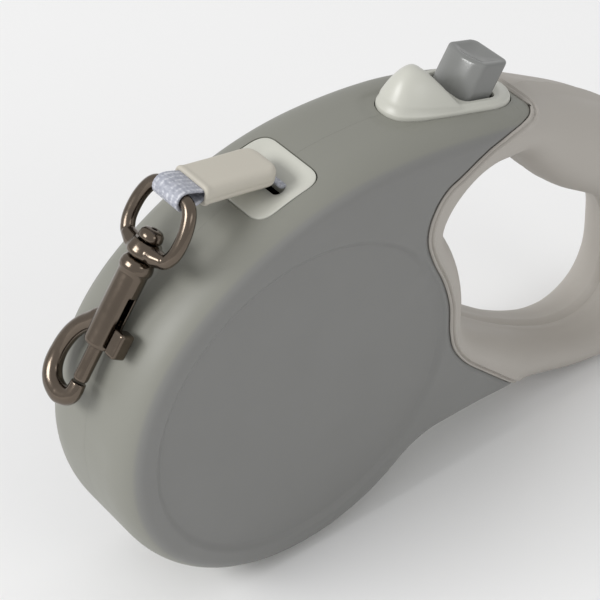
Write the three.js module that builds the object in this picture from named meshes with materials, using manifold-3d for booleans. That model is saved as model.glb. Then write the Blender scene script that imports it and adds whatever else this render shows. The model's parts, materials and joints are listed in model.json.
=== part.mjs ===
// A retractable tape leash: a hollow two-part casing, a spring-driven spool, a thumb brake and a bolt snap.
// Millimetres, +Z up. The spool axle runs along Y, the tape leaves at the front, towards -X, and the handle
// is at the back. Every shape is drawn about the spool's centre, and the whole group is then moved, so that
// the origin lies under the middle of the object on the surface that it stands on.
import * as THREE from 'three';
import { mergeVertices } from 'three/addons/utils/BufferGeometryUtils.js';
import Module from 'manifold-3d';

const wasm = await Module();
wasm.setup();

// ---- Driving dimensions ----
const DRUM_R = 53; // round front and bottom of the casing
const HALF_WIDTH = 18; // casing, from the parting plane to its flat side
const TREAD_HALF = 8.5; // flat middle of the rim
const SHOULDER = 4.5; // how far the side faces lie inside the rim's outline
const GRIP_HALF = 15; // half width of the handle
const WALL = 2.4;
const SKIN = 1.6; // soft overmould on the handle
const GAP = 0.3; // clearance between neighbouring pieces
const DISC_R = 44; // shallow round recess in each side
const DISC_DEPTH = 0.6;
const TOP_X = 22; // highest point of the rim
const TOP_FRONT_R = 88.7; // rim in front of that point
const TOP_REAR_R = 150; // rim behind it, as far as the back of the handle
const ARCH_R = 20; // hollow under the web, beside the drum
const TAPE_W = 9.6;
const TAPE_T = 1;
const PACK_R = 41; // wound tape, when it is all in
const TOOTH_COUNT = 24;
const RATCHET_R = 48.6;
const RATCHET_T = 2.4;
const TOOTH_DEPTH = 3;
const FIRST_TOOTH = 38.6; // angle of the tooth that lies below the pawl
const FLANGE_Y = 5.7; // inner face of the ratchet flange
const TAPE_ANGLE = 22; // the tape leaves this many degrees above the horizontal
const BOOT_ANGLE = 10.3; // the boot lies flatter than the tape
const HANG_ANGLE = 34.5; // the snap leans on the rim, this far from the vertical
const BUTTON_ANGLE = 32; // the button leans back this far from the vertical
const BUTTON_HEIGHT = 9.7; // along its own axis, from the rim to the middle of its top
const BUTTON_SLOPE = 15.5; // its top lies nearly parallel to the rim
const STEP = 6; // length of a facet on the casing's outlines

const LOOP_CENTRE = [-24.3, 65.2]; // middle of the snap ring's top bar
const BOOT_REAR = [0.25, 61.0];
const MOUTH = [1.5, 58.9]; // where the tape comes through the bezel
const ROLLER = [33.3, 41.2];
const ROLLER_R = 3.5;
const PAWL_PIVOT = [41, 46.5];
const BUTTON_SEAT = [60.9, 55.5];
const SCREWS = [[25.5, 54.2], [55.5, -27], [129.5, -21], [99, 23]];

// ---- Small helpers ----
const rad = THREE.MathUtils.degToRad;
const cos = (degrees) => Math.cos(rad(degrees));
const sin = (degrees) => Math.sin(rad(degrees));

function solid(geometry) {
  const plain = geometry.index ? geometry.toNonIndexed() : geometry.clone();
  plain.deleteAttribute('normal');
  plain.deleteAttribute('uv');
  const merged = mergeVertices(plain, 1e-4);
  const mesh = new wasm.Mesh({
    numProp: 3,
    vertProperties: merged.attributes.position.array,
    triVerts: Uint32Array.from(merged.index.array),
  });
  return new wasm.Manifold(mesh);
}

function geometryOf(body) {
  const mesh = body.getMesh();
  const geometry = new THREE.BufferGeometry();
  geometry.setAttribute('position', new THREE.BufferAttribute(Float32Array.from(mesh.vertProperties), 3));
  geometry.setIndex([...mesh.triVerts]);
  return geometry;
}

function minus(body, ...others) {
  return others.reduce((left, other) => left.subtract(other), body);
}

function plus(body, ...others) {
  return others.reduce((sum, other) => sum.add(other), body);
}

function points(curves, step) {
  const all = [];
  for (const curve of curves) {
    const count = Math.max(1, Math.round(curve.getLength() / step));
    all.push(...curve.getPoints(count).slice(0, -1));
  }
  return all;
}

function vectors(pairs) {
  return pairs.map(([x, z]) => new THREE.Vector2(x, z));
}

// A plate whose outline is drawn in X and Z, running from y = low to y = high.
function plate(shape, low, high, bevel = 0, bevelIn = bevel, segments = 1) {
  const geometry = new THREE.ExtrudeGeometry(shape, {
    depth: high - low - 2 * bevel,
    bevelEnabled: bevel > 0,
    bevelThickness: bevel,
    bevelSize: bevelIn,
    bevelOffset: -bevelIn,
    bevelSegments: segments,
    curveSegments: 8,
  });
  geometry.translate(0, 0, -high + bevel);
  geometry.rotateX(Math.PI / 2);
  return geometry;
}

// A prism whose outline is drawn in X and Y, running from z = low to z = high.
function prism(shape, low, high, bevel = 0) {
  const geometry = new THREE.ExtrudeGeometry(shape, {
    depth: high - low - 2 * bevel,
    bevelEnabled: bevel > 0,
    bevelThickness: bevel,
    bevelSize: bevel,
    bevelOffset: -bevel,
    bevelSegments: 1,
    curveSegments: 4,
  });
  geometry.translate(0, 0, low + bevel);
  return geometry;
}

// A round bar along Y.
function bar(radius, low, high, [x, z] = [0, 0], sides = 24) {
  const geometry = new THREE.CylinderGeometry(radius, radius, high - low, sides);
  geometry.translate(x, (low + high) / 2, z);
  return geometry;
}

// A turned piece with its axis along Y, from [radius, y] pairs that start and end on the axis or meet.
function turned(profile, sides) {
  return new THREE.LatheGeometry(vectors(profile), sides);
}

function box(x0, x1, y0, y1, z0, z1) {
  const geometry = new THREE.BoxGeometry(x1 - x0, y1 - y0, z1 - z0);
  geometry.translate((x0 + x1) / 2, (y0 + y1) / 2, (z0 + z1) / 2);
  return geometry;
}

function roundedRectangle(halfX, halfY, radius, x = 0) {
  const shape = new THREE.Shape();
  shape.moveTo(x + halfX, -halfY + radius);
  shape.absarc(x + halfX - radius, halfY - radius, radius, 0, Math.PI / 2);
  shape.absarc(x - halfX + radius, halfY - radius, radius, Math.PI / 2, Math.PI);
  shape.absarc(x - halfX + radius, -halfY + radius, radius, Math.PI, 1.5 * Math.PI);
  shape.absarc(x + halfX - radius, -halfY + radius, radius, 1.5 * Math.PI, 2 * Math.PI);
  return shape;
}

// A coil spring about +Z, from z = 0 up, in round wire.
function coil(radius, wire, turns, height) {
  class Helix extends THREE.Curve {
    getPoint(t) {
      const angle = 2 * Math.PI * turns * t;
      const rise = wire + (height - 2 * wire) * t;
      return new THREE.Vector3(radius * Math.cos(angle), radius * Math.sin(angle), rise);
    }
  }
  const section = new THREE.Shape(vectors([0, 90, 180, 270].map((a) => [wire * cos(a), wire * sin(a)])));
  return new THREE.ExtrudeGeometry(section, { steps: turns * 9, extrudePath: new Helix() });
}

// ---- Materials ----
function finish(color, roughness, metalness = 0) {
  return new THREE.MeshStandardMaterial({ color, roughness, metalness });
}
const casingGrey = finish(0x7b7c78, 0.5);
const gripGrey = finish(0xa29d96, 0.75);
const trimGrey = finish(0xc3c3bb, 0.4);
const bootGrey = finish(0xbab4a6, 0.7);
const buttonGrey = finish(0x787a78, 0.3);
const webbing = finish(0xa9abb3, 0.6);
const gunmetal = finish(0x5b5149, 0.25, 1);
const steel = finish(0xa8aaad, 0.35, 1);
const springSteel = finish(0x6d6f75, 0.35, 1);
const innerPlastic = finish(0x3a3c3f, 0.6);
const acetal = finish(0xe6e4de, 0.5);

const root = new THREE.Group();

function add(name, shape, material, parent = root) {
  const mesh = new THREE.Mesh(shape.isBufferGeometry ? shape : geometryOf(shape), material);
  mesh.name = name;
  parent.add(mesh);
  return mesh;
}

// ---- Outlines of the casing, in X and Z ----
function rimOutline(step) {
  const drumEnd = -52;
  const archCentre = [(DRUM_R + ARCH_R) * cos(drumEnd), (DRUM_R + ARCH_R) * sin(drumEnd)];
  const topZ = 60.6;
  const handleTop = 47.7;
  const handleTopPoint = [
    TOP_X + TOP_REAR_R * cos(handleTop), topZ - TOP_REAR_R + TOP_REAR_R * sin(handleTop),
  ];
  const archTop = [archCentre[0], archCentre[1] + ARCH_R];
  const [foot, back] = [[112, -DRUM_R], [139, -16]];
  const bezier = (a, b, c, d) => new THREE.CubicBezierCurve(...vectors([a, b, c, d]));
  return points([
    new THREE.EllipseCurve(0, 0, DRUM_R, DRUM_R, rad(128), rad(360 + drumEnd), false),
    new THREE.EllipseCurve(...archCentre, ARCH_R, ARCH_R, rad(180 + drumEnd), rad(90), true),
    bezier(archTop, [75, archTop[1]], [100, foot[1]], foot),
    bezier(foot, [128, foot[1]], [back[0], -38], back),
    bezier(back, [back[0], -3], [handleTopPoint[0] + 8.9, handleTopPoint[1] - 8.1], handleTopPoint),
    new THREE.EllipseCurve(TOP_X, topZ - TOP_REAR_R, TOP_REAR_R, TOP_REAR_R, rad(handleTop), rad(90), false),
    new THREE.EllipseCurve(TOP_X, topZ - TOP_FRONT_R, TOP_FRONT_R, TOP_FRONT_R, rad(90), rad(128), false),
  ], step);
}

function openingOutline(step) {
  const bulge = new THREE.EllipseCurve(0, 0, 53.6, 53.6, rad(-9), rad(32.3), false);
  const knuckle = new THREE.EllipseCurve(60, 26, 15.2, 15.2, rad(169.5), rad(57), true);
  const ends = [knuckle.getPoint(1), bulge.getPoint(0)];
  const around = new THREE.SplineCurve([
    ends[0],
    ...vectors([
      [73.6, 34.2], [78.8, 27.4], [84.2, 21.4], [92.3, 14.6], [103.4, 7], [113, -1.5], [119.2, -12],
      [120, -24], [115.5, -34.5], [106.5, -39.6], [95.5, -37.5], [84, -31.8], [75, -26.4], [66.8, -20.2],
      [59.5, -14.3],
    ]),
    ends[1],
  ]);
  return points([bulge, knuckle, around], step);
}

// The line on each side where the soft grip meets the hard casing, closed round the whole handle.
function gripOutline(inset) {
  const spline = new THREE.SplineCurve(vectors([
    [74.4, 50.2], [67.5, 50.7], [62, 50.8], [56.8, 50], [52, 48.4], [47, 46.2], [43, 43.8], [40, 40.4],
    [37.6, 35.6], [37.4, 29.8], [39.6, 23], [43.2, 14.8], [45.6, 6], [46.2, -3], [48, -10], [52.6, -17.2],
    [60, -25], [70.3, -35.4],
  ]));
  const line = spline.getPoints(24);
  const moved = line.map((p, n) => {
    const along = spline.getTangent(n / 24);
    return new THREE.Vector2(p.x - along.y * inset, p.y + along.x * inset);
  });
  const rest = vectors([
    [74.4 + inset, -39.4], [80 + inset, -46], [84, -70], [160, -70], [160, 80], [80 + inset, 80],
  ]);
  return new THREE.Shape([...moved, ...rest, new THREE.Vector2(77.6 + inset, 50.2)]);
}

// Half widths narrow from the drum to the handle.
function widthPlan(inset) {
  const corners = [[-90, HALF_WIDTH], [45, HALF_WIDTH], [85, GRIP_HALF], [160, GRIP_HALF]];
  const side = corners.map(([x, y]) => [x, y - inset]);
  return new THREE.Shape(vectors([...side.map(([x, y]) => [x, -y]), ...side.toReversed()]));
}

// The whole outer body, drawn in by the given amount all over, with or without the opening for the hand.
function casingBody(inset, shoulder, segments, open = true) {
  const step = segments === 1 ? 1.5 * STEP : STEP;
  const shape = new THREE.Shape(rimOutline(step));
  if (open) {
    shape.holes.push(new THREE.Path(openingOutline(step)));
  }
  const reach = HALF_WIDTH - TREAD_HALF - inset / 2;
  const geometry = new THREE.ExtrudeGeometry(shape, {
    depth: 2 * (HALF_WIDTH - inset - reach),
    bevelThickness: reach,
    bevelSize: shoulder,
    bevelOffset: -shoulder - inset,
    bevelSegments: segments,
  });
  geometry.translate(0, 0, -(HALF_WIDTH - inset - reach));
  geometry.rotateX(Math.PI / 2);
  return solid(geometry).intersect(solid(prism(widthPlan(inset), -80, 90)));
}

// ---- Casing: two hard shells with soft halves of the grip over the handle ----
const bezelPlan = (grow) => roundedRectangle(9.6 + grow, 12 + grow, 4 + grow, 0.5);

// A closed outline through the points of one half, mirrored in Y, and grown by the given amount.
function mirrored(half, grow, [middle, halfLength, halfWidth]) {
  const side = half.map(([x, y]) => [
    middle + (x - middle) * (1 + grow / halfLength), y * (1 + grow / halfWidth),
  ]);
  const back = side.slice(1, -1).toReversed().map(([x, y]) => [x, -y]);
  return vectors([...side, ...back]);
}

function trimPlan(grow) {
  const half = [
    [38.3, 0], [39.2, 2.6], [41.6, 5.6], [46, 8.2], [53.1, 10.1], [61.2, 10.8], [66, 10.6], [70.4, 8.4],
    [74.4, 4.4], [76.6, 0],
  ];
  const loop = mirrored(half, grow, [57.5, 19, 10.5]);
  const outline = new THREE.SplineCurve([...loop, loop[0]]);
  return new THREE.Shape(outline.getPoints(2 * loop.length).slice(0, -1));
}

function buttonPlan(grow) {
  const half = [[-4.9, 0], [-4.6, 3.6], [-3.7, 5.6], [-2.6, 6.3], [3.4, 6.3], [4.65, 5.1], [4.65, 0]];
  return new THREE.Shape(mirrored(half, grow, [0, 4.8, 6.3]));
}

// Moves a shape that was drawn along +Z to the button's seat, with its tilt.
function onButtonSeat(geometry) {
  geometry.rotateY(rad(BUTTON_ANGLE));
  geometry.translate(BUTTON_SEAT[0], 0, BUTTON_SEAT[1]);
  return geometry;
}

const outerBody = casingBody(0, SHOULDER, 3);
const underSkin = casingBody(SKIN, 3, 1);
const handleCore = casingBody(SKIN + GAP, 3, 1);
const gripSide = solid(plate(gripOutline(GAP), -40, 40));
const hardSide = solid(plate(gripOutline(0), -40, 40));
const innerBody = casingBody(WALL, 2, 1);

// The handle is hollow along its middle.
function handleHollow() {
  const middle = new THREE.SplineCurve(vectors([
    [86, 34], [99, 25], [113, 13], [125, -2], [130, -18], [128, -32],
  ]));
  const half = 4.6;
  const sides = [1, -1].map((side) => Array.from({ length: 9 }, (_, n) => {
    const p = middle.getPoint(n / 8);
    const along = middle.getTangent(n / 8);
    return new THREE.Vector2(p.x - side * half * along.y, p.y + side * half * along.x);
  }));
  return solid(plate(new THREE.Shape([...sides[0], ...sides[1].toReversed()]), -9.5, 9.5));
}

// Round posts along Y that join the two shells and hold the axle.
const posts = SCREWS.map((place) => solid(bar(3.2, -20, 20, place, 12)));
const axlePosts = [solid(bar(7, 9.6, 20)), solid(bar(7, -20, -14.6))];
const pinPosts = [ROLLER, PAWL_PIVOT].map((place) => solid(bar(2.9, 9, 20, place, 12)));
const leftPinPost = solid(bar(2.9, -20, -9, ROLLER, 12));
const drumRoom = solid(bar(50.4, -HALF_WIDTH + WALL, HALF_WIDTH - WALL, [0, 0], 48));
const topRoomPlan = new THREE.Shape(vectors([
  [-30, 30], [-30, 70], [76, 70], [76, 38], [44, 30], [44, -8], [30, -30],
]));
const webRoomPlan = new THREE.Shape(vectors([
  [40, -8], [62, -20], [66, -30], [40, -40], [25, -47], [20, -30],
]));
const rooms = plus(
  drumRoom,
  innerBody.intersect(solid(plate(topRoomPlan, -40, 40))),
  innerBody.intersect(solid(plate(webRoomPlan, -40, 40))),
  handleHollow(),
);
const hollows = minus(rooms, ...posts, ...axlePosts, ...pinPosts, leftPinPost);

const buttonHole = solid(onButtonSeat(prism(buttonPlan(GAP + 0.1), -8, 30)));
const trimSeat = casingBody(1.5, 2, 1, false);
const trimCut = minus(solid(prism(trimPlan(GAP), 38, 80)), trimSeat);
const bezelCut = solid(prism(bezelPlan(GAP), 48, 80));
const farDisc = solid(bar(DISC_R, HALF_WIDTH - DISC_DEPTH, HALF_WIDTH + 2, [0, 0], 48));
const nearDisc = solid(bar(DISC_R, -HALF_WIDTH - 2, DISC_DEPTH - HALF_WIDTH, [0, 0], 48));

const hardBody = minus(outerBody, hardSide).add(handleCore);
const screwHoles = SCREWS.map((place) => solid(bar(1.55, -13.5, 40, place, 12)));
const screwHeads = SCREWS.map((place) => solid(bar(3, 10.4, 40, place, 16)));
const axleHole = solid(bar(4.1, -16.3, 16.3, [0, 0], 24));
const pinHoles = [ROLLER, PAWL_PIVOT].map((place) => solid(bar(1.6, -16, 16, place, 12)));
const casing = minus(
  hardBody, hollows, buttonHole, trimCut, bezelCut, farDisc, nearDisc,
  axleHole, ...pinHoles, ...screwHoles, ...screwHeads,
);
const nearSide = solid(box(-120, 180, -60, -GAP / 2, -90, 120));
const farSide = solid(box(-120, 180, GAP / 2, 60, -90, 120));
add('left_shell', casing.intersect(nearSide), casingGrey);
add('right_shell', casing.intersect(farSide), casingGrey);

const gripScrewHoles = SCREWS.slice(2).map((place) => solid(bar(3.6, 8, 40, place, 12)));
const grip = minus(outerBody.intersect(gripSide), underSkin, trimCut, buttonHole, ...gripScrewHoles);
add('left_grip', grip.intersect(nearSide), gripGrey);
add('right_grip', grip.intersect(farSide), gripGrey);

SCREWS.forEach((place, n) => {
  const head = n < 2 ? 12.2 : 12;
  const screw = plus(solid(bar(1.25, -9, 10.8, place, 10)), solid(bar(2.6, 10.7, head, place, 14)));
  const [x, z] = place;
  const slot = solid(box(x - 1.7, x + 1.7, head - 0.7, head + 1, z - 0.35, z + 0.35));
  add(`shell_screw_${n + 1}`, minus(screw, slot), steel);
});

// ---- Nozzle bezel, button trim and the brake ----
const tapeDirection = new THREE.Vector2(cos(TAPE_ANGLE), -sin(TAPE_ANGLE)); // inwards, down into the casing
const bootDirection = new THREE.Vector2(cos(BOOT_ANGLE), -sin(BOOT_ANGLE));

// Moves a shape that was drawn along +X onto the tape's line, with its start at the given place.
function along(geometry, angle, [x, z]) {
  geometry.rotateY(rad(angle));
  geometry.translate(x, 0, z);
  return geometry;
}

const bootSpace = solid(along(box(-30, 1.2, -6.8, 6.8, -3.2, 3.4), BOOT_ANGLE, BOOT_REAR));
const tapeSpace = solid(along(box(-12, 40, -5.3, 5.3, -1.1, 1.1), TAPE_ANGLE, MOUTH));
const bezelFloor = casingBody(3.4, 2, 1, false);
const bezel = minus(
  outerBody.intersect(solid(prism(bezelPlan(0), 48, 80))), bezelFloor, bootSpace, tapeSpace,
);
add('nozzle_bezel', bezel, trimGrey);

const trimColumn = solid(prism(trimPlan(0), 38, 80));
const trimPlate = minus(
  casingBody(-1, SHOULDER, 3, false).intersect(trimColumn),
  casingBody(1.2, 2, 1, false),
);
const humpBall = new THREE.SphereGeometry(1, 18, 12);
humpBall.scale(12.5, 9.6, 11);
humpBall.translate(50, 0, 56);
const humpCut = box(0, 60, -30, 30, -40, 60);
humpCut.rotateY(rad(-36));
humpCut.translate(56.2, 0, 58.2);
const humpBlock = solid(humpBall).intersect(trimColumn);
const hump = minus(humpBlock, casingBody(0.4, SHOULDER, 3, false), solid(humpCut));
add('button_trim', minus(plus(trimPlate, hump), buttonHole), trimGrey);

const buttonBody = solid(onButtonSeat(prism(buttonPlan(0), -2.6, 13)));
const aboveTop = box(-30, 30, -30, 30, 0, 30);
const dishRadius = 20;
const dish = new THREE.SphereGeometry(dishRadius, 28, 16).translate(0, 0, dishRadius - 0.9);
const topCuts = [aboveTop, dish].map((geometry) => {
  geometry.rotateY(rad(-BUTTON_SLOPE));
  geometry.translate(0, 0, BUTTON_HEIGHT);
  return solid(onButtonSeat(geometry));
});
const plunger = solid(onButtonSeat(box(-2.5, 0.5, -3, 5.6, -5.1, -2)));
add('brake_button', plus(minus(buttonBody, ...topCuts), plunger), buttonGrey);
const buttonCoil = coil(2.2, 0.35, 4, 6.8);
add('button_spring', onButtonSeat(buttonCoil.translate(3.5, 0, -9.8)), springSteel);

const pawlShape = new THREE.Shape(vectors([
  [43.6, 44.3], [60.4, 48], [60.4, 50.6], [43, 49.8], [39, 49.6], [37.6, 46.4], [38.6, 36], [38, 33.2],
  [39.2, 29.9], [42.6, 34],
]));
const pawlPlate = minus(solid(plate(pawlShape, 5.9, 8.1)), solid(bar(1.75, 0, 20, PAWL_PIVOT, 12)));
const pawlFoot = solid(box(54.4, 60.4, 2.8, 6.2, 48, 50.6));
add('brake_pawl', plus(pawlPlate, pawlFoot), acetal);
add('pawl_pin', bar(1.5, 5.4, 15.9, PAWL_PIVOT, 12), steel);

// ---- Spool, ratchet, tape and mainspring, all turned about Y ----
add('spool_axle', bar(4, -16.2, 16.2), steel);

// Each tooth is steep on the side that leads while the tape pays out, so that the pawl stops it there.
function ratchetOutline() {
  const pitch = 360 / TOOTH_COUNT;
  const onCircle = (radius, angle) => new THREE.Vector2(radius * cos(angle), radius * sin(angle));
  const corners = Array.from({ length: TOOTH_COUNT }, (_, n) => {
    const tip = FIRST_TOOTH + n * pitch;
    return [
      onCircle(RATCHET_R, tip),
      onCircle(RATCHET_R - TOOTH_DEPTH, tip + 0.04 * pitch),
      onCircle(RATCHET_R - TOOTH_DEPTH, tip + 0.5 * pitch),
    ];
  });
  return new THREE.Shape(corners.flat());
}
const spoolCore = turned([
  [4.3, -6.8], [30.4, -6.8], [30.4, -13.4], [32, -13.4], [32, -6.8], [47, -6.8], [47, -5.6], [16, -5.6],
  [16, FLANGE_Y], [30, FLANGE_Y], [30, FLANGE_Y + RATCHET_T], [4.3, FLANGE_Y + RATCHET_T], [4.3, -6.8],
], 36);
const ratchetPlate = minus(
  solid(plate(ratchetOutline(), FLANGE_Y, FLANGE_Y + RATCHET_T)), solid(bar(28, 0, 20, [0, 0], 36)),
);
add('spool', plus(solid(spoolCore), ratchetPlate), innerPlastic);

// A turned ring along Y between two radii.
function tube(inner, outer, low, high, sides) {
  return turned([[inner, low], [outer, low], [outer, high], [inner, high], [inner, low]], sides);
}
add('spring_cover', tube(4.4, 32, -14.3, -13.7, 36), innerPlastic);
add('tape_pack', tube(16.3, PACK_R, -TAPE_W / 2, TAPE_W / 2, 40), webbing);

function mainspringShape() {
  const [inner, outer, turns, thick, count] = [8, 28, 6, 0.8, 84];
  const edge = (offset) => Array.from({ length: count + 1 }, (_, n) => {
    const angle = 2 * Math.PI * turns * (n / count);
    const radius = inner + (outer - inner) * (n / count) + offset;
    return new THREE.Vector2(radius * Math.cos(angle), radius * Math.sin(angle));
  });
  return new THREE.Shape([...edge(thick / 2), ...edge(-thick / 2).toReversed()]);
}
add('mainspring', plate(mainspringShape(), -13, -7.4), springSteel);
add('spring_arbor', tube(4.35, 7, -13.3, -7.2, 24), steel);

// ---- Tape path: pack, roller, mouth, boot and the loop that holds the snap ----
const roller = add('guide_roller', tube(1.75, ROLLER_R, -5.2, 5.2, 20), acetal);
roller.position.set(ROLLER[0], 0, ROLLER[1]);
add('roller_pin', bar(1.5, -15.9, 15.9, ROLLER, 12), steel);

// The tape between the roller and the pack, round the roller's back and down to the pack's right side.
function tapeRunShape() {
  const inner = ROLLER_R + GAP;
  const outer = inner + TAPE_T;
  const [x, z] = ROLLER;
  const start = 90 - TAPE_ANGLE - 14;
  const arc = (radius, from, to) => Array.from({ length: 6 }, (_, n) => {
    const angle = from + ((to - from) * n) / 5;
    return new THREE.Vector2(x + radius * cos(angle), z + radius * sin(angle));
  });
  const low = [PACK_R + GAP, 4];
  return new THREE.Shape([
    ...arc(outer, start, 5), new THREE.Vector2(low[0] + TAPE_T, low[1]), new THREE.Vector2(...low),
    ...arc(inner, 5, start),
  ]);
}
add('tape_run', plate(tapeRunShape(), -TAPE_W / 2, TAPE_W / 2), webbing);

// The straight tape slides out of the mouth, and turns a little to lie along the boot.
function tapeLeadShape() {
  const half = TAPE_T / 2;
  const boot = bootDirection;
  const start = [BOOT_REAR[0] - 9 * boot.x, BOOT_REAR[1] - 9 * boot.y];
  const bend = [BOOT_REAR[0] - 2.6 * boot.x, BOOT_REAR[1] - 2.6 * boot.y];
  const inside = 35.4;
  const end = [MOUTH[0] + inside * tapeDirection.x, MOUTH[1] + inside * tapeDirection.y];
  const line = [start, bend, [MOUTH[0] + 2, MOUTH[1] + 2 * tapeDirection.y / tapeDirection.x], end];
  return new THREE.Shape(vectors([
    ...line.map(([x, z]) => [x, z + half]), ...line.map(([x, z]) => [x, z - half]).toReversed(),
  ]));
}
add('tape_lead', plate(tapeLeadShape(), -TAPE_W / 2, TAPE_W / 2), webbing);

const BOOT_LENGTH = 20.3;
const bootPlan = roundedRectangle(BOOT_LENGTH / 2, 6.1, 1.6, -BOOT_LENGTH / 2);
const bootBody = solid(along(prism(bootPlan, -2.45, 2.45, 0.7), BOOT_ANGLE, BOOT_REAR));
const bootSlot = solid(along(box(-40, 10, -5.1, 5.1, -1.8, 1.8), BOOT_ANGLE, BOOT_REAR));
add('boot', minus(bootBody, bootSlot), bootGrey);

// The tape folds back round the ring's bar and is sewn flat on itself where it enters the boot.
function loopShape() {
  const [inner, outer] = [2, 2 + TAPE_T];
  const [neck, end] = [5.2, 9.6];
  const shape = new THREE.Shape();
  const join = rad(32);
  shape.moveTo(end, TAPE_T);
  shape.lineTo(neck, TAPE_T);
  shape.absarc(0, 0, outer, join, 2 * Math.PI - join);
  shape.lineTo(neck, -TAPE_T);
  shape.lineTo(end, -TAPE_T);
  shape.holes.push(new THREE.Path().absarc(0, 0, inner, 0, 2 * Math.PI));
  return shape;
}
const strapLoop = plate(loopShape(), -TAPE_W / 2, TAPE_W / 2);
add('strap_loop', along(strapLoop, BOOT_ANGLE - 1.5, LOOP_CENTRE), webbing);

// ---- Bolt snap, drawn hanging down from the ring's top bar ----
const snap = new THREE.Group();
snap.position.set(LOOP_CENTRE[0], 0, LOOP_CENTRE[1]);
snap.rotation.y = rad(HANG_ANGLE);
root.add(snap);

// A flat piece of the snap, drawn in Y and Z and running through X, with rounded edges.
function flat(shape, half, bevel) {
  const geometry = new THREE.ExtrudeGeometry(shape, {
    depth: 2 * (half - bevel),
    bevelThickness: bevel,
    bevelSize: bevel,
    bevelOffset: -bevel,
    bevelSegments: 2,
    curveSegments: 5,
  });
  geometry.translate(0, 0, bevel - half);
  geometry.rotateX(Math.PI / 2);
  geometry.rotateZ(Math.PI / 2);
  return geometry;
}

function ringOutline(half, top, straight, shape) {
  shape.moveTo(half, -11.5);
  shape.bezierCurveTo(half, -6, half - 0.8, top, straight, top);
  shape.lineTo(-straight, top);
  shape.bezierCurveTo(0.8 - half, top, -half, -6, -half, -11.5);
  return shape;
}
const ringOuter = ringOutline(10.4, 1.55, 5.4, new THREE.Shape());
ringOuter.bezierCurveTo(-10.4, -14.5, -8, -16.4, -4.6, -16.6);
ringOuter.lineTo(4.6, -16.6);
ringOuter.bezierCurveTo(8, -16.4, 10.4, -14.5, 10.4, -11.5);
const ringInner = ringOutline(7.3, -1.5, 5, new THREE.Path());
ringInner.bezierCurveTo(-7.3, -13, -6, -13.4, -4, -13.4);
ringInner.lineTo(4, -13.4);
ringInner.bezierCurveTo(6, -13.4, 7.3, -13, 7.3, -11.5);
ringOuter.holes.push(ringInner);
const upright = (radius, low, high, sides = 20) => {
  const geometry = new THREE.CylinderGeometry(radius, radius, high - low, sides);
  geometry.rotateX(Math.PI / 2);
  geometry.translate(0, 0, (low + high) / 2);
  return geometry;
};
const ringBody = plus(solid(flat(ringOuter, 1.5, 0.8)), solid(upright(4, -16.8, -12.6)));
add('snap_ring', minus(ringBody, solid(upright(1.7, -30, -5, 16))), gunmetal, snap);

const rivet = plus(solid(upright(1.4, -18.6, -12)), solid(upright(2.7, -12.3, -10.2, 14)));
const hookShape = new THREE.Shape();
hookShape.moveTo(2.6, -30);
hookShape.bezierCurveTo(6, -36, 12.2, -39, 12.4, -49);
hookShape.bezierCurveTo(12.4, -56, 6, -58.4, 1.6, -58);
hookShape.bezierCurveTo(-1.2, -57.8, -2, -56, -2, -54.4);
hookShape.lineTo(-2, -50.6);
hookShape.lineTo(2, -50.6);
hookShape.lineTo(2.2, -53);
hookShape.bezierCurveTo(5, -54.2, 9, -53.6, 9, -49);
hookShape.bezierCurveTo(9, -43, 6, -41.6, 3, -40.2);
hookShape.lineTo(2.6, -40.2);
const hookArm = solid(flat(hookShape, 1.9, 0.8));
const barrel = plus(solid(upright(3.6, -40.4, -18.4)), solid(upright(4, -20.4, -17.1)));
const barrelBore = solid(upright(2.2, -60, -23.4, 16));
const barrelSlot = solid(box(-0.9, 0.9, -9, 0, -39.2, -26.4));
const barrelCup = plus(barrelBore.intersect(solid(box(-5, 5, -5, 5, -50.2, 0))), barrelSlot);
add('snap_hook', minus(plus(barrel, hookArm), barrelCup, solid(upright(1.75, -19, -10, 16))), gunmetal, snap);
add('swivel_rivet', minus(rivet, solid(upright(0.7, -11.2, -9, 8))), gunmetal, snap);

const boltRod = solid(upright(1.85, -50.2, -32.6));
const tabStem = solid(box(-0.7, 0.7, -5.2, 0, -39, -34));
const tab = solid(box(-1.9, 1.9, -7.6, -4.1, -39.9, -33.6));
add('snap_bolt', plus(boltRod, tabStem, tab), gunmetal, snap);
add('bolt_spring', coil(1.45, 0.3, 5, 8.2).translate(0, 0, -32.2), springSteel, snap);

// The origin is on the surface below the middle of the whole object.
const ORIGIN = [40.3, -DRUM_R];
root.position.set(-ORIGIN[0], 0, -ORIGIN[1]);

export default root;
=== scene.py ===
"""The looks of a retractable tape leash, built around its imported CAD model.

Lengths in the drawing are millimetres about the spool's centre: x runs towards the handle, y across and z up.
place() turns them into the frame's metres.
"""

import json
import math

import bmesh
import bpy
import numpy as np
from mathutils import Matrix, Vector
from mathutils.geometry import delaunay_2d_cdt

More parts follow.
